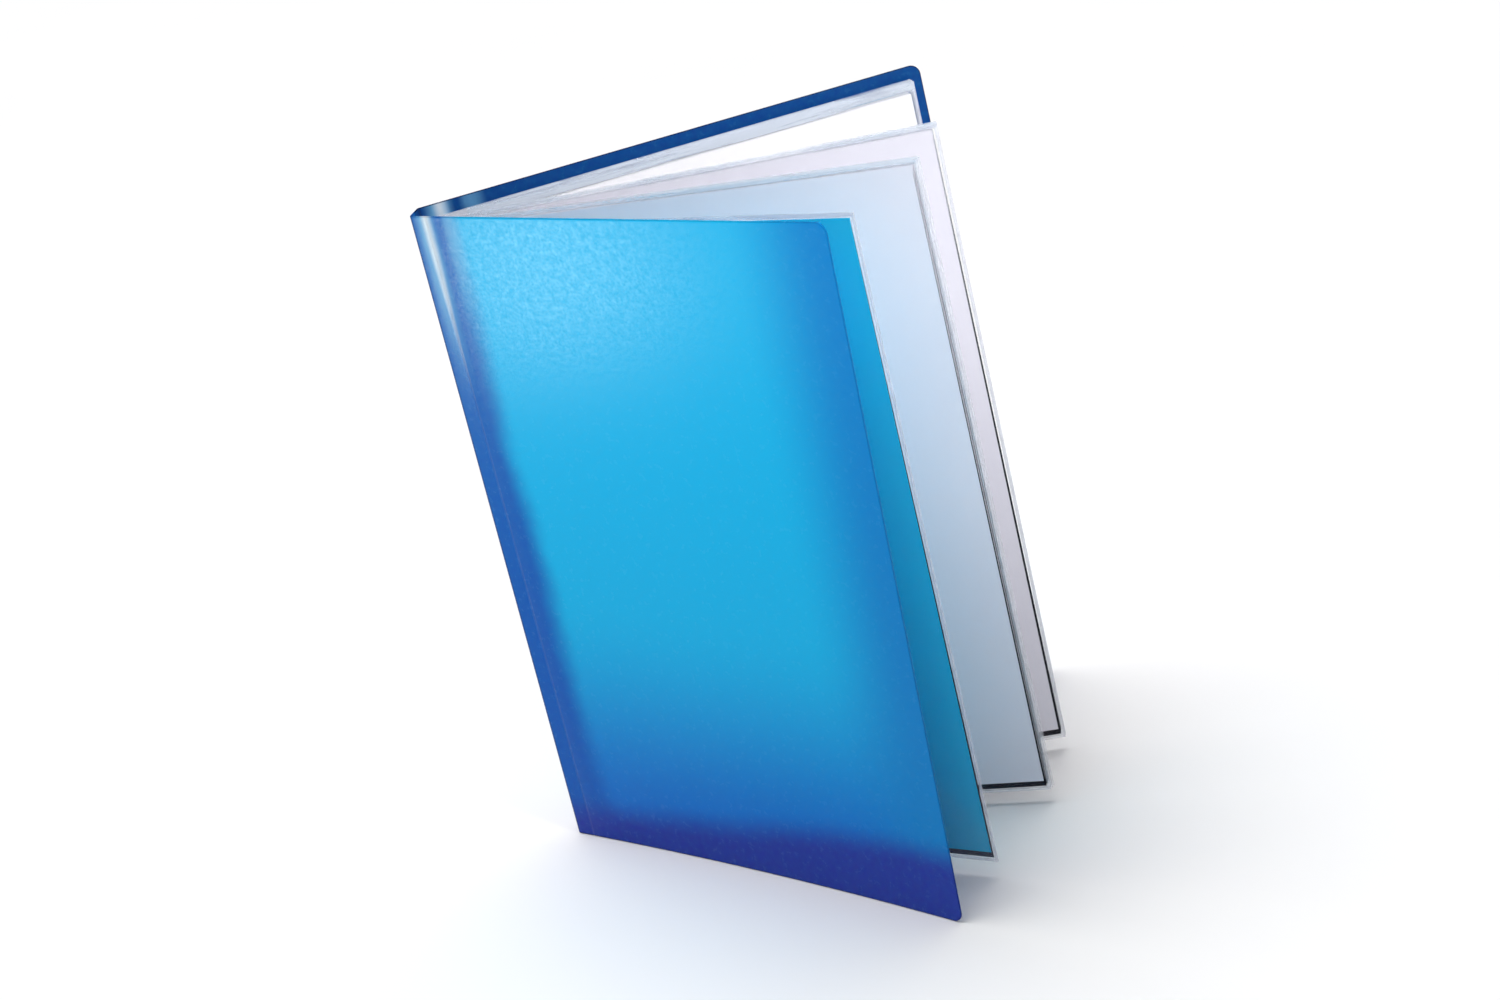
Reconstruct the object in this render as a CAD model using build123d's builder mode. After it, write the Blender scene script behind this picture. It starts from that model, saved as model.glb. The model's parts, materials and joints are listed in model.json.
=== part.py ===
from build123d import *
import os
from math import sqrt

# Pocket page binder: a folded plastic cover whose spine carries ten clear pocket leaves.
# Millimetres and degrees. The spine stands on the origin, +Z runs up the spine, and +X lies
# in the closed plane, so the front cover opens towards -Y and the back cover towards +Y.

# Cover: one sheet scored into a front panel, a spine panel and a back panel
COVER_HEIGHT = 317.0
COVER_WIDTH = 243.0
COVER_THICKNESS = 0.8
COVER_CORNER_RADIUS = 5.0
COVER_OPENING = 27.3
SPINE_WIDTH = 11.2
FOLD_RADIUS = COVER_THICKNESS / 2
FOLD_CLEARANCE = 0.3
SPINE_CLEARANCE = 0.05

# Crease pressed into the outer face of each cover panel, beside its fold
CREASE_FROM_FOLD = 10.0
CREASE_WIDTH = 1.2
CREASE_DEPTH = 0.25

# Leaves, front to back: (angle of the first leaf, number of leaves, angle between leaves)
LEAF_FANS = [(-21.4, 1, 0.0), (-5.55, 3, 0.25), (6.45, 3, 0.25), (26.5, 3, 0.35)]
LEAF_PITCH = 1.0
LEAF_REACH = 235.0
LEAF_BOTTOM = 7.4
LEAF_TOP = 311.4
LEAF_HEIGHT = LEAF_TOP - LEAF_BOTTOM
TAB_WIDTH = 19.0
TAB_THICKNESS = 0.2
ROOT_BEAD_RADIUS = 0.15
SEAM_WIDTH = 1.2
SEAM_END_GAP = 0.1

# Layers of one leaf: films outside, then a paper sheet each side of a black card
FILM_THICKNESS = 0.1
PAPER_THICKNESS = 0.12
BLACK_THICKNESS = 0.2
LAYER_GAP = 0.04
PAPER_MIDDLE = BLACK_THICKNESS / 2 + LAYER_GAP + PAPER_THICKNESS / 2
POCKET_HALF_DEPTH = PAPER_MIDDLE + PAPER_THICKNESS / 2 + LAYER_GAP
FILM_MIDDLE = POCKET_HALF_DEPTH + FILM_THICKNESS / 2

# Sheets inside each pocket; the last leaves' papers have settled lower
SHEET_WIDTH = 210.0
SHEET_END = 232.5
SHEET_START = SHEET_END - SHEET_WIDTH
PAPER_BOTTOM = 12.0
PAPER_HEIGHT = 297.0
SETTLED_DROP = 3.1
FIRST_SETTLED_LEAF = 8
BLACK_BOTTOM = 9.4
BLACK_TOP = 305.6
BLACK_SKEW = 0.15

# Binding strip: a crowned bar fused inside the spine, with every leaf's root on its crown
STRIP_WIDTH = 9.8
ROOT_CROWN_RADIUS = 7.6
ROOT_CROWN_PEAK = 4.2
ROOT_CLEARANCE = 0.3

CORNER = (Align.MIN, Align.MIN)
TOP_CORNER = (Align.MAX, Align.MAX)


def upright_plane(hinge_x, hinge_y, angle):
    """Middle plane of an upright panel: local x leaves the hinge and local y is +Z."""
    outward = Vector(1, 0, 0).rotate(Axis.Z, angle)
    normal = Vector(0, -1, 0).rotate(Axis.Z, angle)
    return Plane(origin=(hinge_x, hinge_y, 0), x_dir=outward, z_dir=normal)


def root_x(y):
    """Distance from the spine of a leaf root at width y, on the strip's crown."""
    return ROOT_CROWN_PEAK - ROOT_CROWN_RADIUS + sqrt(ROOT_CROWN_RADIUS**2 - y**2)


def leaf_places():
    """Number, hinge position and opening angle of every leaf, from front to back."""
    angles = [first + step * i for first, count, step in LEAF_FANS for i in range(count)]
    middle = (len(angles) - 1) / 2
    for index, angle in enumerate(angles):
        y = (index - middle) * LEAF_PITCH
        yield index + 1, root_x(y), y, angle


def make_cover(name, side):
    """One cover panel; side is -1 for the front cover and +1 for the back cover."""
    middle = upright_plane(0, side * SPINE_WIDTH / 2, side * COVER_OPENING)
    start = FOLD_RADIUS + FOLD_CLEARANCE
    with BuildPart() as cover:
        with BuildSketch(middle) as outline:
            with Locations((start, 0)):
                Rectangle(COVER_WIDTH - start, COVER_HEIGHT, align=CORNER)
            fillet(outline.vertices().group_by(Axis.X)[-1], radius=COVER_CORNER_RADIUS)
        extrude(amount=COVER_THICKNESS / 2, both=True)
        with BuildSketch(middle.offset(-side * COVER_THICKNESS / 2)):
            with Locations((CREASE_FROM_FOLD, 0)):
                Rectangle(CREASE_WIDTH, COVER_HEIGHT, align=(Align.CENTER, Align.MIN))
        extrude(amount=side * CREASE_DEPTH, mode=Mode.SUBTRACT)
    cover.part.label = name
    export_step(cover.part, f"parts/{name}.step")


def make_spine_panel():
    """The cover's middle panel, between the two folds."""
    with BuildPart() as spine_panel:
        with BuildSketch(Plane.XY):
            Rectangle(COVER_THICKNESS, SPINE_WIDTH - 2 * (FOLD_RADIUS + SPINE_CLEARANCE))
        extrude(amount=COVER_HEIGHT)
    spine_panel.part.label = "spine_panel"
    export_step(spine_panel.part, "parts/spine_panel.step")


def make_fold(name, side):
    """A fold of the cover sheet: a round bead on the hinge axis, as thick as the sheet."""
    with BuildPart() as fold:
        with BuildSketch(Plane.XY):
            with Locations((0, side * SPINE_WIDTH / 2)):
                Circle(FOLD_RADIUS)
        extrude(amount=COVER_HEIGHT)
    fold.part.label = name
    export_step(fold.part, f"parts/{name}.step")


def make_binding_strip():
    """The bar that the leaves are fused to, flat on the spine panel and crowned in front."""
    back_x = COVER_THICKNESS / 2
    half_width = STRIP_WIDTH / 2
    crown_radius = ROOT_CROWN_RADIUS - ROOT_CLEARANCE
    crown_peak = ROOT_CROWN_PEAK - ROOT_CLEARANCE
    edge_x = crown_peak - crown_radius + sqrt(crown_radius**2 - half_width**2)
    with BuildPart() as binding_strip:
        with BuildSketch(Plane.XY.offset(LEAF_BOTTOM)):
            with BuildLine():
                ThreePointArc((edge_x, -half_width), (crown_peak, 0), (edge_x, half_width))
                Polyline(
                    (edge_x, half_width),
                    (back_x, half_width),
                    (back_x, -half_width),
                    (edge_x, -half_width),
                )
            make_face()
        extrude(amount=LEAF_HEIGHT)
    binding_strip.part.label = "binding_strip"
    export_step(binding_strip.part, "parts/binding_strip.step")


def make_margins(name, middle):
    """Welded margins: the binding tab with its root bead and seam, then two edge seams."""
    right_seam = LEAF_REACH - SEAM_WIDTH
    bottom_start = TAB_WIDTH + SEAM_WIDTH + SEAM_END_GAP
    bottom_width = right_seam - SEAM_END_GAP - bottom_start
    with BuildPart() as margins:
        with BuildSketch(middle):
            with Locations((0, LEAF_BOTTOM)):
                Rectangle(TAB_WIDTH, LEAF_HEIGHT, align=CORNER)
        extrude(amount=TAB_THICKNESS / 2, both=True)
        with BuildSketch(Plane.XY.offset(LEAF_BOTTOM)):
            with Locations((middle.origin.X, middle.origin.Y)):
                Circle(ROOT_BEAD_RADIUS)
        extrude(amount=LEAF_HEIGHT)
        with BuildSketch(middle):
            with Locations((TAB_WIDTH, LEAF_BOTTOM), (right_seam, LEAF_BOTTOM)):
                Rectangle(SEAM_WIDTH, LEAF_HEIGHT, align=CORNER)
            with Locations((bottom_start, LEAF_BOTTOM)):
                Rectangle(bottom_width, SEAM_WIDTH, align=CORNER)
        extrude(amount=POCKET_HALF_DEPTH, both=True)
    margins.part.label = name
    export_step(margins.part, f"parts/{name}.step")


def make_film(name, middle, side):
    """One clear face of a pocket; side is +1 for its front face and -1 for its back face."""
    with BuildPart() as film:
        with BuildSketch(middle.offset(side * FILM_MIDDLE)):
            with Locations((TAB_WIDTH, LEAF_BOTTOM)):
                Rectangle(LEAF_REACH - TAB_WIDTH, LEAF_HEIGHT, align=CORNER)
        extrude(amount=FILM_THICKNESS / 2, both=True)
    film.part.label = name
    export_step(film.part, f"parts/{name}.step")


def make_paper_sheets(name, middle, bottom):
    """The two paper sheets of a pocket, one each side of its black card."""
    with BuildPart() as paper_sheets:
        with BuildSketch(middle.offset(PAPER_MIDDLE), middle.offset(-PAPER_MIDDLE)):
            with Locations((SHEET_START, bottom)):
                Rectangle(SHEET_WIDTH, PAPER_HEIGHT, align=CORNER)
        extrude(amount=PAPER_THICKNESS / 2, both=True)
    paper_sheets.part.label = name
    export_step(paper_sheets.part, f"parts/{name}.step")


def make_black_card(name, middle):
    """The black card in the middle of a pocket, hanging a little askew in it."""
    with BuildPart() as black_card:
        with BuildSketch(middle):
            with Locations((SHEET_END, BLACK_TOP)):
                Rectangle(SHEET_WIDTH, BLACK_TOP - BLACK_BOTTOM, BLACK_SKEW, TOP_CORNER)
        extrude(amount=BLACK_THICKNESS / 2, both=True)
    black_card.part.label = name
    export_step(black_card.part, f"parts/{name}.step")


def make_leaf(number, hinge_x, hinge_y, angle):
    """A pocket leaf: welded margins, two clear films, two papers and a black card."""
    middle = upright_plane(hinge_x, hinge_y, angle)
    leaf = f"leaf_{number:02d}"
    drop = SETTLED_DROP if number >= FIRST_SETTLED_LEAF else 0
    make_margins(f"{leaf}_margins", middle)
    make_film(f"{leaf}_front_film", middle, 1)
    make_film(f"{leaf}_back_film", middle, -1)
    make_paper_sheets(f"{leaf}_paper_sheets", middle, PAPER_BOTTOM - drop)
    make_black_card(f"{leaf}_black_card", middle)


make_cover("front_cover", -1)
make_cover("back_cover", 1)
make_spine_panel()
make_fold("front_fold", -1)
make_fold("back_fold", 1)
make_binding_strip()
for place in leaf_places():
    make_leaf(*place)
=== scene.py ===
import bmesh
import bpy
import json
from math import cos, hypot, pi, radians, sin, sqrt, tan
from mathutils import Matrix, Vector


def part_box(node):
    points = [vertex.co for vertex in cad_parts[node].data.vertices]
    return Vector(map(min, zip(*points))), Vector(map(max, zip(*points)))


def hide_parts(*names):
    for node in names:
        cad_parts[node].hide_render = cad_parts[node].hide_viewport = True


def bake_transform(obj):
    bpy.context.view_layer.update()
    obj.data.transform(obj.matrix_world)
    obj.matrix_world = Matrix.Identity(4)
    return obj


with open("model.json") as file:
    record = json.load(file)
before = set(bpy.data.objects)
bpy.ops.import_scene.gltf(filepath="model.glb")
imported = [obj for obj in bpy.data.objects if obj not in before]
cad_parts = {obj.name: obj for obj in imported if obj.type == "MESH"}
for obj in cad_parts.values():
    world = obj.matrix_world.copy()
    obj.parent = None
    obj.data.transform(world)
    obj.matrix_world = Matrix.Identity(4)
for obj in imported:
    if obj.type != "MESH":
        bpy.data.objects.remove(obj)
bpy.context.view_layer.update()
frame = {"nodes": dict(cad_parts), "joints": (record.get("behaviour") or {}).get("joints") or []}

NODES = frame["nodes"]
MM = 0.001


# ---------------------------------------------------------------- sizes from the frame

COVER_JOINT = next(j for j in frame["joints"] if j["name"] == "front_cover_hinge")
HINGE_Y = abs(COVER_JOINT["pos_m"][1])
OPENING = radians(-COVER_JOINT["range_deg"][0])
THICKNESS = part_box("spine_panel")[1].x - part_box("spine_panel")[0].x
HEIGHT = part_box("front_cover")[1].z
WIDTH = (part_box("front_cover")[1].x - THICKNESS / 2 * sin(OPENING)) / cos(OPENING)
LEAF_NAMES = sorted({name[:7] for name in NODES if name.startswith("leaf_")})

CORNER_RADIUS = 5 * MM
CORNER_STEPS = 12
FOLD_MIDDLE_RADIUS = 1.5 * MM
FOLD_TURN = pi / 2 - OPENING
FOLD_TANGENT = FOLD_MIDDLE_RADIUS * tan(FOLD_TURN / 2)
CREASE_AT = 10 * MM
CREASE_HALF_WIDTH = 0.75 * MM
CREASE_DEPTH = 0.25 * MM
RIM_ROUNDING = 0.3 * MM
RIM_SHARE = 0.4
FREE_CORNER_WARP = radians(3.0)

PLACE_ATTRIBUTE = "sheet_place"


# ---------------------------------------------------------------- node helpers

def new_material(name):
    """An empty node material: its tree and its Principled shader."""
    material = bpy.data.materials.new(name)
    material.use_nodes = True
    return material, material.node_tree, material.node_tree.nodes["Principled BSDF"]


def put(tree, value, socket):
    """Sets a socket to a number or colour, or links it to another socket."""
    if isinstance(value, bpy.types.NodeSocket):
        tree.links.new(value, socket)
    else:
        socket.default_value = value


def calc(tree, operation, a, b=0.0, clamp=False):
    """The result of a Math node, kept between 0 and 1 if clamp is set."""
    node = tree.nodes.new("ShaderNodeMath")
    node.operation = operation
    node.use_clamp = clamp
    put(tree, a, node.inputs[0])
    put(tree, b, node.inputs[1])
    return node.outputs[0]


def fade(tree, value, start, end, low=0.0, high=1.0):
    """Goes smoothly from low at start to high at end."""
    node = tree.nodes.new("ShaderNodeMapRange")
    node.interpolation_type = "SMOOTHSTEP"
    put(tree, value, node.inputs["Value"])
    put(tree, start, node.inputs["From Min"])
    put(tree, end, node.inputs["From Max"])
    put(tree, low, node.inputs["To Min"])
    put(tree, high, node.inputs["To Max"])
    return node.outputs[0]


def stripe(tree, value, middle, reach, core, high=1.0):
    """Goes from high within core of middle to nothing at reach from it."""
    gap = calc(tree, "ABSOLUTE", calc(tree, "SUBTRACT", value, middle))
    return fade(tree, gap, reach, core, 0.0, high)


def blend_colours(tree, factor, a, b):
    """Colour a where the factor is 0, and colour b where it is 1."""
    node = tree.nodes.new("ShaderNodeMix")
    node.data_type = "RGBA"
    put(tree, factor, node.inputs["Factor"])
    put(tree, a, node.inputs["A"])
    put(tree, b, node.inputs["B"])
    return node.outputs["Result"]


def noise(tree, vector, scale, detail=3.0, roughness=0.5, stretch=(1, 1, 1)):
    """Soft noise with about scale lumps in a metre. A stretch below 1 lengthens them."""
    mapping = tree.nodes.new("ShaderNodeMapping")
    mapping.inputs["Scale"].default_value = stretch
    put(tree, vector, mapping.inputs["Vector"])
    node = tree.nodes.new("ShaderNodeTexNoise")
    node.inputs["Scale"].default_value = scale
    node.inputs["Detail"].default_value = detail
    node.inputs["Roughness"].default_value = roughness
    tree.links.new(mapping.outputs[0], node.inputs["Vector"])
    return node.outputs["Fac"]


def bump(tree, height, distance):
    """A surface normal raised by up to distance where the height is 1."""
    node = tree.nodes.new("ShaderNodeBump")
    node.inputs["Distance"].default_value = distance
    put(tree, height, node.inputs["Height"])
    return node.outputs["Normal"]


def object_place(tree):
    """A point's place in the object's own coordinates, in metres."""
    return tree.nodes.new("ShaderNodeTexCoord").outputs["Object"]


# ---------------------------------------------------------------- materials

# The cover's blues. Most are painted light and shade: painted light where pages back the translucent
# sheet, painted shade where nothing backs it, at the spine, the foot, the free edge and the head,
# and darker towards the foot.
# The mottle blue is random tone, the streak blue a painted highlight, the crease white stress
# whitening with a painted highlight, and the fold blue painted shade. Those named low and high
# belong to the foot and the head of the sheet.
PAINTED_LIGHT_LOW = (0.0, 0.18, 0.72, 1)
PAINTED_LIGHT_HIGH = (0.0, 0.53, 0.96, 1)
SPINE_SHADE_LOW = (0.0, 0.11, 0.56, 1)
SPINE_SHADE_HIGH = (0.004, 0.13, 0.54, 1)
FOOT_PAINTED_SHADE = (0.018, 0.036, 0.42, 1)
UNBACKED_PAINTED_SHADE = (0.004, 0.055, 0.27, 1)
MOTTLE_BLUE = (0.01, 0.55, 0.80, 1)
PAINTED_HIGHLIGHT_BLUE = (0.26, 0.66, 0.95, 1)
CREASE_WHITE_AND_HIGHLIGHT = (0.82, 0.90, 0.97, 1)
FOLD_PAINTED_SHADE = (0.004, 0.03, 0.14, 1)
RIM_BLUE = (0.003, 0.012, 0.07, 1)
SHEEN_TINT = (0.34, 0.62, 0.48, 1)

# The third coordinate of the flat sheet is the distance from its edge, which noise leaves out.
IN_PLANE = (1, 1, 0)


def cover_painted_light_and_shade(tree, flat, across, up, backed_top, free_edge_shade, free_fade):
    """The sheet's blues, with light and shade painted in: painted light where pages back it, painted
    shade at the spine, foot, free edge and head, and darker towards the foot.
    """
    cloud = noise(tree, flat, 14, 4, 0.55, IN_PLANE)
    wander = calc(tree, "MULTIPLY", calc(tree, "SUBTRACT", cloud, 0.5), 20 * MM)
    across_soft = calc(tree, "ADD", across, wander)
    up_soft = calc(tree, "ADD", up, calc(tree, "MULTIPLY", wander, 0.5))
    foot_line = fade(tree, across, 0.0, WIDTH, 12 * MM, 30 * MM)
    foot_start = calc(tree, "SUBTRACT", foot_line, 7 * MM)
    foot_end = calc(tree, "ADD", foot_line, 12 * MM)

    # Painted shade at the free edge, the spine, the foot and the head, where nothing backs the
    # sheet.
    from_free = fade(tree, across, WIDTH - free_fade[0], WIDTH - free_fade[1])
    from_spine = fade(tree, across_soft, 16 * MM, 34 * MM)
    from_foot = fade(tree, up_soft, foot_start, foot_end)
    from_top = fade(tree, up, backed_top, backed_top - 3 * MM)
    # Painted light where pages back the sheet and painted shade at the spine, both darker towards
    # the foot.
    painted_light = blend_colours(tree, fade(tree, up, 15 * MM, 130 * MM), PAINTED_LIGHT_LOW, PAINTED_LIGHT_HIGH)
    spine = blend_colours(tree, fade(tree, up, 60 * MM, 260 * MM), SPINE_SHADE_LOW, SPINE_SHADE_HIGH)
    tones = blend_colours(tree, from_free, free_edge_shade, painted_light)
    tones = blend_colours(tree, from_spine, spine, tones)
    tones = blend_colours(tree, from_foot, FOOT_PAINTED_SHADE, tones)
    return blend_colours(tree, from_top, UNBACKED_PAINTED_SHADE, tones)


def painted_highlight_bands(tree, flat, across, up):
    """How much the two pale bands beside the fold show: painted highlights, broken into streaks,
    which fade in towards the head.
    """
    streaky = noise(tree, flat, 90, 3, 0.6, (1, 0.12, 0))
    near = stripe(tree, across, 9 * MM, 8 * MM, 1 * MM)
    near = calc(tree, "MULTIPLY", near, fade(tree, up, 220 * MM, 310 * MM, 0.0, 0.85))
    far = stripe(tree, across, 25 * MM, 7 * MM, 1 * MM)
    far = calc(tree, "MULTIPLY", far, fade(tree, up, 260 * MM, 315 * MM, 0.0, 0.55))
    bands = calc(tree, "MAXIMUM", near, far)
    return calc(tree, "MULTIPLY", bands, fade(tree, streaky, 0.2, 0.7, 0.55, 1.0))


def crease_whitening_and_highlight(tree, flat, across, up):
    """How white the pressed crease is: stress whitening, with a painted highlight that grows wider
    and whiter towards the head.
    """
    reach = fade(tree, up, 240 * MM, 315 * MM, 1.2 * MM, 4.5 * MM)
    line = stripe(tree, across, CREASE_AT, reach, 0.2 * MM)
    line = calc(tree, "MULTIPLY", line, fade(tree, up, 225 * MM, 305 * MM, 0.06, 0.95))
    streak = noise(tree, flat, 60, 3, 0.6, (1, 0.4, 0))
    return calc(tree, "MULTIPLY", line, fade(tree, streak, 0.25, 0.6, 0.5, 1.0))


def cover_material(name, backed_top, free_edge_shade, free_fade, rim_depth):
    """Frosted translucent blue polypropylene, with light and shade painted into its colour. Pages
    back it up to backed_top, and there its blue is painted light. From its free edge it goes from
    free_edge_shade, painted shade, to bright over the two distances of free_fade, and rim_depth says
    how dark its cut edge is. Its coordinates are the sheet's own, laid flat."""
    material, tree, shader = new_material(name)
    attribute = tree.nodes.new("ShaderNodeAttribute")
    attribute.attribute_name = PLACE_ATTRIBUTE
    flat = attribute.outputs["Vector"]
    split = tree.nodes.new("ShaderNodeSeparateXYZ")
    tree.links.new(flat, split.inputs[0])
    across, up, from_edge = split.outputs
    mottle = noise(tree, flat, 260, 3, 0.6, IN_PLANE)
    grain = noise(tree, flat, 1500, 2, 0.6, IN_PLANE)
    speckle = noise(tree, flat, 620, 3, 0.7, IN_PLANE)

    colour = cover_painted_light_and_shade(tree, flat, across, up, backed_top, free_edge_shade, free_fade)
    for shown, tint in (
        (fade(tree, mottle, 0.2, 0.8, 0.0, 0.05), MOTTLE_BLUE),
        # The pale bands beside the fold: painted highlights.
        (painted_highlight_bands(tree, flat, across, up), PAINTED_HIGHLIGHT_BLUE),
        # The crease: stress whitening and a painted highlight.
        (crease_whitening_and_highlight(tree, flat, across, up), CREASE_WHITE_AND_HIGHLIGHT),
        # A dark stripe along the fold: painted shade.
        (stripe(tree, across, 0.0, 1.6 * MM, 0.4 * MM, 0.75), FOLD_PAINTED_SHADE),
        (fade(tree, from_edge, 0.7 * MM, 0.2 * MM, 0.0, rim_depth), RIM_BLUE),
    ):
        colour = blend_colours(tree, shown, colour, tint)
    put(tree, colour, shader.inputs["Base Color"])

    broad = calc(tree, "MULTIPLY", mottle, 0.30)
    fine = calc(tree, "MULTIPLY", grain, 0.45)
    relief = calc(tree, "ADD", broad, fine)
    put(tree, bump(tree, relief, 0.04 * MM), shader.inputs["Normal"])
    put(tree, fade(tree, mottle, 0.25, 0.75, 0.20, 0.29), shader.inputs["Roughness"])
    put(tree, fade(tree, speckle, 0.36, 0.64, 0.35, 0.82), shader.inputs["Specular IOR Level"])
    shader.inputs["Alpha"].default_value = 0.95
    shader.inputs["IOR"].default_value = 1.25
    shader.inputs["Specular Tint"].default_value = SHEEN_TINT
    return material


def paper_material(name, colour, deep):
    """Smooth printing paper with a faint cloudy look and fibre grain."""
    material, tree, shader = new_material(name)
    place = object_place(tree)
    cloud = noise(tree, place, 18, 3, 0.5)
    fibre = noise(tree, place, 900, 4, 0.65, (1, 1, 0.35))
    base = blend_colours(tree, fade(tree, cloud, 0.3, 0.7, 0.0, 0.5), colour, deep)
    base = blend_colours(tree, fade(tree, fibre, 0.35, 0.75, 0.0, 0.12), base, deep)
    put(tree, base, shader.inputs["Base Color"])
    put(tree, fade(tree, fibre, 0.3, 0.7, 0.6, 0.75), shader.inputs["Roughness"])
    put(tree, bump(tree, fibre, 0.02 * MM), shader.inputs["Normal"])
    shader.inputs["Specular IOR Level"].default_value = 0.2
    return material


def card_material():
    """Matt black card."""
    material, tree, shader = new_material("card_black")
    fibre = noise(tree, object_place(tree), 700, 4, 0.6)
    base = blend_colours(tree, fibre, (0.004, 0.004, 0.008, 1), (0.016, 0.016, 0.026, 1))
    put(tree, base, shader.inputs["Base Color"])
    put(tree, fade(tree, fibre, 0.3, 0.7, 0.7, 0.9), shader.inputs["Roughness"])
    put(tree, bump(tree, fibre, 0.03 * MM), shader.inputs["Normal"])
    shader.inputs["Specular IOR Level"].default_value = 0.15
    return material


def film_material(name, mouth_from, mouth_haze):
    """Thin clear glossy film: it shows mostly by its reflections and its soft ripples. Above
    the papers, at the pocket's open mouth, it is curled and cloudy."""
    material, tree, shader = new_material(name)
    place = object_place(tree)
    ripple = noise(tree, place, 22, 3, 0.5, (1, 1, 0.3))
    haze = noise(tree, place, 120, 3, 0.5)
    fresnel = tree.nodes.new("ShaderNodeFresnel")
    fresnel.inputs["IOR"].default_value = 1.45
    clear = fade(tree, haze, 0.3, 0.8, 0.003, 0.009)
    shown = calc(tree, "ADD", calc(tree, "MULTIPLY", fresnel.outputs[0], 0.14), clear, True)
    height = tree.nodes.new("ShaderNodeSeparateXYZ")
    tree.links.new(place, height.inputs[0])
    mouth = fade(tree, height.outputs[2], mouth_from, mouth_from + 0.6 * MM, 0.0, mouth_haze)
    curl = noise(tree, place, 55, 3, 0.55, (0.35, 0.35, 5))
    mouth = calc(tree, "MULTIPLY", mouth, fade(tree, curl, 0.38, 0.58, 0.25, 1.0))
    put(tree, calc(tree, "ADD", shown, mouth, True), shader.inputs["Alpha"])
    put(tree, fade(tree, haze, 0.3, 0.7, 0.10, 0.2), shader.inputs["Roughness"])
    put(tree, bump(tree, ripple, 1.2 * MM), shader.inputs["Normal"])
    shader.inputs["Base Color"].default_value = (0.86, 0.92, 1.0, 1)
    shader.inputs["Specular IOR Level"].default_value = 0.6
    return material


def weld_material():
    """Fused film at the pocket's margins, with the fine ribs that the welding bar leaves."""
    material, tree, shader = new_material("film_weld")
    place = object_place(tree)
    rib = tree.nodes.new("ShaderNodeTexWave")
    rib.bands_direction = "Z"
    rib.inputs["Scale"].default_value = 180
    rib.inputs["Distortion"].default_value = 0.4
    tree.links.new(place, rib.inputs["Vector"])
    haze = noise(tree, place, 90, 3, 0.55)
    put(tree, fade(tree, haze, 0.3, 0.7, 0.28, 0.42), shader.inputs["Alpha"])
    put(tree, fade(tree, haze, 0.3, 0.7, 0.22, 0.35), shader.inputs["Roughness"])
    put(tree, bump(tree, rib.outputs["Fac"], 0.06 * MM), shader.inputs["Normal"])
    shader.inputs["Base Color"].default_value = (0.92, 0.94, 1.0, 1)
    return material


def strip_material():
    """Natural translucent moulded plastic of the binding strip."""
    material, tree, shader = new_material("binding_plastic")
    place = object_place(tree)
    flow = noise(tree, place, 60, 3, 0.5, (1, 1, 0.2))
    base = blend_colours(tree, flow, (0.55, 0.70, 0.90, 1), (0.72, 0.82, 0.93, 1))
    put(tree, base, shader.inputs["Base Color"])
    put(tree, fade(tree, flow, 0.3, 0.7, 0.3, 0.45), shader.inputs["Roughness"])
    put(tree, bump(tree, flow, 0.1 * MM), shader.inputs["Normal"])
    shader.inputs["Alpha"].default_value = 0.85
    return material


# ---------------------------------------------------------------- cover sheet

def spaced(start, end, longest):
    """Numbers from start up to, but not including, end, no further apart than longest."""
    count = max(1, int((end - start) / longest + 0.999))
    return [start + (end - start) * i / count for i in range(count)]


def sheet_columns():
    """Distances from the fold line of the mesh columns; below zero they are on the spine."""
    columns = spaced(-HINGE_Y, -FOLD_TANGENT, 1.2 * MM)
    columns += spaced(-FOLD_TANGENT, FOLD_TANGENT, 0.18 * MM)
    columns += spaced(FOLD_TANGENT, CREASE_AT - CREASE_HALF_WIDTH, 2 * MM)
    columns += spaced(CREASE_AT - CREASE_HALF_WIDTH, CREASE_AT + CREASE_HALF_WIDTH, 0.15 * MM)
    columns += spaced(CREASE_AT + CREASE_HALF_WIDTH, WIDTH - CORNER_RADIUS, 6 * MM)
    for step in range(CORNER_STEPS):
        columns.append(WIDTH - CORNER_RADIUS * (1 - sin(pi / 2 * step / CORNER_STEPS)))
    return columns + [WIDTH - 0.01 * MM]


def sheet_rows():
    """Heights of the mesh rows, closer together at the foot and the head."""
    near = [0, 0.04 * MM, 0.12 * MM, 0.3 * MM, 1.2 * MM, 3 * MM]
    return near + spaced(6 * MM, HEIGHT - 6 * MM, 6 * MM) + [HEIGHT - z for z in near[::-1]]


def edge_distance(across, up):
    """Distance from a point of the flat sheet to its cut edge."""
    from_free = WIDTH - across
    from_end = min(up, HEIGHT - up)
    if from_free < CORNER_RADIUS and from_end < CORNER_RADIUS:
        return CORNER_RADIUS - hypot(CORNER_RADIUS - from_free, CORNER_RADIUS - from_end)
    return min(from_free, from_end)


def sheet_point(side, across, up, warp):
    """Middle of the folded sheet at a flat place, and the direction out of the binder there."""
    if across <= -FOLD_TANGENT:
        return Vector((0, side * (HINGE_Y + across), up)), Vector((-1, 0, 0))
    if across < FOLD_TANGENT:
        turn = FOLD_TURN * (across + FOLD_TANGENT) / (2 * FOLD_TANGENT)
        outward = Vector((-cos(turn), side * sin(turn), 0))
        centre = Vector((FOLD_MIDDLE_RADIUS, side * (HINGE_Y - FOLD_TANGENT), up))
        return centre + FOLD_MIDDLE_RADIUS * outward, outward
    angle = OPENING + warp * (1 - up / HEIGHT) * across / WIDTH
    place = Vector((across * cos(angle), side * (HINGE_Y + across * sin(angle)), up))
    return place, Vector((-sin(angle), side * cos(angle), 0))


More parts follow.
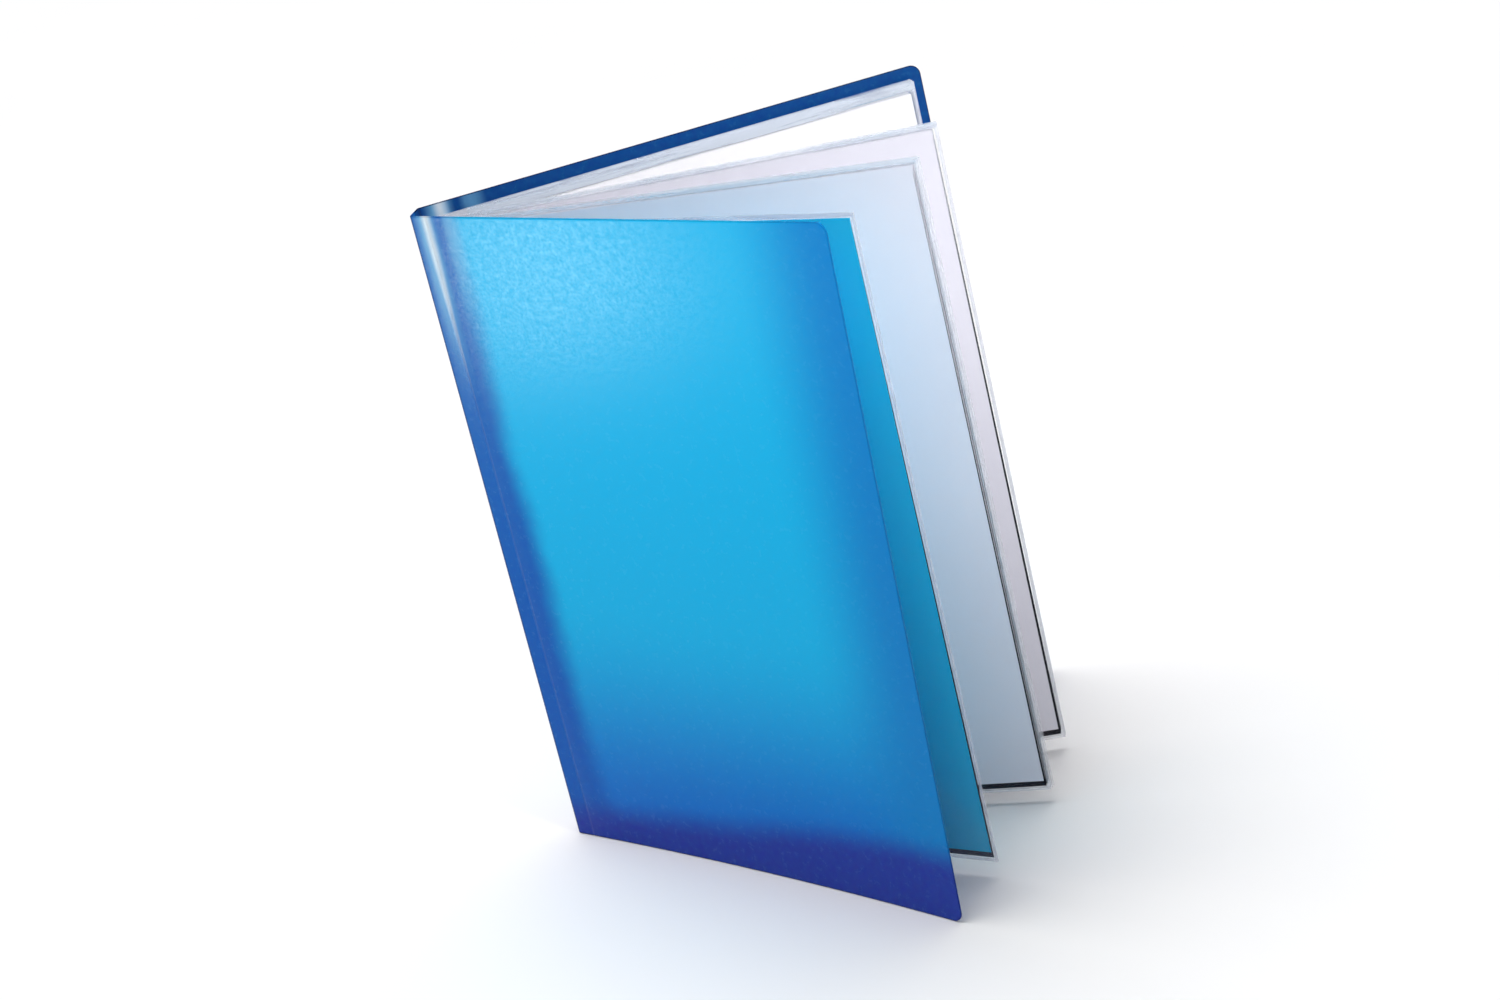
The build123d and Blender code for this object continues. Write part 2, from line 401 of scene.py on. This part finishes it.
def half_thickness(distance):
    """Half the sheet's thickness, less towards its softly rounded cut edge."""
    short = 1 - min(max(distance, 0) / RIM_ROUNDING, 1)
    return THICKNESS / 2 * (RIM_SHARE + (1 - RIM_SHARE) * sqrt(1 - short * short))


def crease_cut(across):
    """Depth of the crease groove at a distance from the fold."""
    offset = abs(across - CREASE_AT) / CREASE_HALF_WIDTH
    return CREASE_DEPTH * (0.5 + 0.5 * cos(pi * offset)) if offset < 1 else 0.0


def outline(grid):
    """The vertices round one face of the sheet: foot, free edge, head and middle of the spine."""
    foot = [column[0] for column in grid]
    head = [column[-1] for column in grid[-2::-1]]
    return foot + grid[-1][1:] + head + grid[0][-2:0:-1]


def build_cover(name, side, warp, material, replaced):
    """Half of the cover sheet, from the middle of the spine, round the fold, to the free edge."""
    mesh = bpy.data.meshes.new(name)
    shape = bmesh.new()
    place_layer = shape.verts.layers.float_vector.new(PLACE_ATTRIBUTE)
    outer, inner = [], []
    for across in sheet_columns():
        corner = max(0.0, across - (WIDTH - CORNER_RADIUS))
        low = CORNER_RADIUS - sqrt(CORNER_RADIUS**2 - corner**2)
        outer_column, inner_column = [], []
        for row in sheet_rows():
            up = low + row / HEIGHT * (HEIGHT - 2 * low)
            middle, outward = sheet_point(side, across, up, warp)
            distance = edge_distance(across, up)
            half = half_thickness(distance)
            for column, offset in (
                (outer_column, half - crease_cut(across)),
                (inner_column, -half),
            ):
                vert = shape.verts.new(middle + outward * offset)
                vert[place_layer] = Vector((across, up, distance))
                column.append(vert)
        outer.append(outer_column)
        inner.append(inner_column)
    for grid in (outer, inner):
        for left, right in zip(grid, grid[1:]):
            for i in range(len(left) - 1):
                shape.faces.new((left[i], right[i], right[i + 1], left[i + 1]))
    outer_loop, inner_loop = outline(outer), outline(inner)
    for i in range(len(outer_loop)):
        shape.faces.new((outer_loop[i - 1], outer_loop[i], inner_loop[i], inner_loop[i - 1]))
    bmesh.ops.recalc_face_normals(shape, faces=shape.faces)
    for face in shape.faces:
        face.smooth = True
    shape.to_mesh(mesh)
    shape.free()
    sheet = bpy.data.objects.new(name, mesh)
    bpy.context.scene.collection.objects.link(sheet)
    mesh.materials.append(material)
    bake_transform(sheet)
    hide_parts(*replaced)


# ---------------------------------------------------------------- the binder

# Both covers are painted light where pages back them and painted shade where nothing does. The back
# cover's head and free edge stand beyond its pages, so they are painted shade.
FRONT_BLUE = cover_material(
    "cover_blue_front",
    backed_top=HEIGHT + 20 * MM,
    free_edge_shade=(0.0, 0.25, 0.70, 1),
    free_fade=(2 * MM, 60 * MM),
    rim_depth=0.35,
)
build_cover(
    "front_cover_sheet", -1, FREE_CORNER_WARP, FRONT_BLUE,
    ["front_cover", "front_fold", "spine_panel"],
)
BACK_BLUE = cover_material(
    "cover_blue_back",
    backed_top=HEIGHT - 9 * MM,
    free_edge_shade=UNBACKED_PAINTED_SHADE,
    free_fade=(11 * MM, 15 * MM),
    rim_depth=0.9,
)
build_cover("back_cover_sheet", 1, 0.0, BACK_BLUE, ["back_cover", "back_fold"])


def finish_node(node, material):
    """Gives a CAD node its one material."""
    node.data.materials.clear()
    node.data.materials.append(material)


WHITE = paper_material("sheet_white", (0.88, 0.87, 0.94, 1), (0.84, 0.83, 0.91, 1))
# The settled leaves' paper is a brighter copy of the same white paper: painted light.
WHITE_PAINTED_LIT = paper_material("sheet_white_settled_painted_lit", (0.97, 0.96, 0.98, 1), (0.94, 0.93, 0.95, 1))
TEAL = paper_material("sheet_teal", (0.0, 0.67, 0.98, 1), (0.0, 0.60, 0.92, 1))
FINISHES = {
    "margins": weld_material(),
    "black_card": card_material(),
}
PAPER_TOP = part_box("leaf_01_paper_sheets")[1].z
SETTLED_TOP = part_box("leaf_10_paper_sheets")[1].z
MOUTH_CLEARANCE = 0.2 * MM
FILM = film_material("film_clear", PAPER_TOP + MOUTH_CLEARANCE, 0.34)
SETTLED_FILM = film_material("film_clear_settled", SETTLED_TOP + MOUTH_CLEARANCE, 0.38)
for leaf in LEAF_NAMES:
    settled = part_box(f"{leaf}_paper_sheets")[1].z < PAPER_TOP - 1 * MM
    FINISHES["front_film"] = FINISHES["back_film"] = SETTLED_FILM if settled else FILM
    FINISHES["paper_sheets"] = TEAL if leaf == "leaf_01" else WHITE_PAINTED_LIT if settled else WHITE
    for part, finish in FINISHES.items():
        finish_node(NODES[f"{leaf}_{part}"], finish)
finish_node(NODES["binding_strip"], strip_material())


# ---------------------------------------------------------------- studio

FLOOR_SIZE = 14
FLOOR_DROP = 0.3 * MM

# Name, place, point aimed at, diameter in metres, power in watts and spread in degrees.
SOFTBOXES = (
    ("page_light", (0.86, -0.60, 0.75), (0.20, 0.00, 0.36), 0.22, 0.295, 36),
    ("front_fill", (0.535, -1.06, 0.95), (0.20, -0.05, 0.27), 0.30, 0.048, 18),
    ("sheen_light", (-0.593, -0.233, 0.117), (0.05, -0.03, 0.30), 0.14, 0.038, 36),
)


def pale_floor():
    """A large matt floor just under the binder."""
    mesh = bpy.data.meshes.new("floor")
    shape = bmesh.new()
    bmesh.ops.create_grid(shape, x_segments=8, y_segments=8, size=FLOOR_SIZE)
    shape.to_mesh(mesh)
    shape.free()
    floor = bpy.data.objects.new("floor", mesh)
    floor.location.z = -FLOOR_DROP
    bpy.context.scene.collection.objects.link(floor)
    material, tree, shader = new_material("floor_pale")
    cloud = noise(tree, object_place(tree), 3, 2)
    base = blend_colours(tree, cloud, (0.90, 0.90, 0.91, 1), (0.93, 0.93, 0.93, 1))
    put(tree, base, shader.inputs["Base Color"])
    shader.inputs["Roughness"].default_value = 0.9
    shader.inputs["Specular IOR Level"].default_value = 0.1
    mesh.materials.append(material)


def softbox(name, location, target, size, power, spread):
    """A round lamp aimed at a point, with its light kept within a narrow cone."""
    data = bpy.data.lights.new(name, "AREA")
    data.shape = "DISK"
    data.size = size
    data.energy = power
    data.spread = radians(spread)
    lamp = bpy.data.objects.new(name, data)
    lamp.location = location
    lamp.rotation_euler = (Vector(target) - Vector(location)).to_track_quat("-Z", "Y").to_euler()
    lamp.visible_camera = False
    bpy.context.scene.collection.objects.link(lamp)


def overhead_sun(direction, strength, softness):
    """The main light: a very soft sun that shines from a direction."""
    data = bpy.data.lights.new("overhead", "SUN")
    data.energy = strength
    data.angle = softness
    lamp = bpy.data.objects.new("overhead", data)
    lamp.rotation_euler = Vector(direction).to_track_quat("Z", "Y").to_euler()
    bpy.context.scene.collection.objects.link(lamp)


def pale_world(seen, lighting):
    """The world is white behind the floor and lights the scene more gently."""
    world = bpy.data.worlds.new("studio")
    world.use_nodes = True
    tree = world.node_tree
    background = tree.nodes["Background"]
    background.inputs["Color"].default_value = (1, 1, 1, 1)
    ray = tree.nodes.new("ShaderNodeLightPath")
    strength = fade(tree, ray.outputs["Is Camera Ray"], 0, 1, lighting, seen)
    put(tree, strength, background.inputs["Strength"])
    bpy.context.scene.world = world


pale_floor()
pale_world(seen=1.0, lighting=0.16)
overhead_sun((-0.16, 0.12, 0.98), strength=3.05, softness=radians(56))
for lamp_settings in SOFTBOXES:
    softbox(*lamp_settings)


# ---------------------------------------------------------------- camera

AZIMUTH, ELEVATION, ROLL = radians(17.09), radians(20.46), radians(-13.70)
TARGET = Vector((0.1229, -0.0030, 0.1585))
DISTANCE = 1.4629
SENSOR_WIDTH = 36
FOCAL_LENGTH = 76.8

back = Vector((
    sin(AZIMUTH) * cos(ELEVATION),
    -cos(AZIMUTH) * cos(ELEVATION),
    sin(ELEVATION),
))
level = (-back).cross(Vector((0, 0, 1))).normalized()
upright = level.cross(-back)
axis_x = cos(ROLL) * level + sin(ROLL) * upright
axis_y = -sin(ROLL) * level + cos(ROLL) * upright
camera = bpy.data.objects.new("camera", bpy.data.cameras.new("camera"))
camera.data.sensor_width = SENSOR_WIDTH
camera.data.lens = FOCAL_LENGTH
camera.matrix_world = Matrix.Translation(TARGET + back * DISTANCE) @ Matrix(
    (axis_x, axis_y, back)
).transposed().to_4x4()
bpy.context.scene.collection.objects.link(camera)
bpy.context.scene.camera = camera

bpy.context.scene.view_settings.view_transform = "Standard"
bpy.context.scene.cycles.transparent_max_bounces = 64
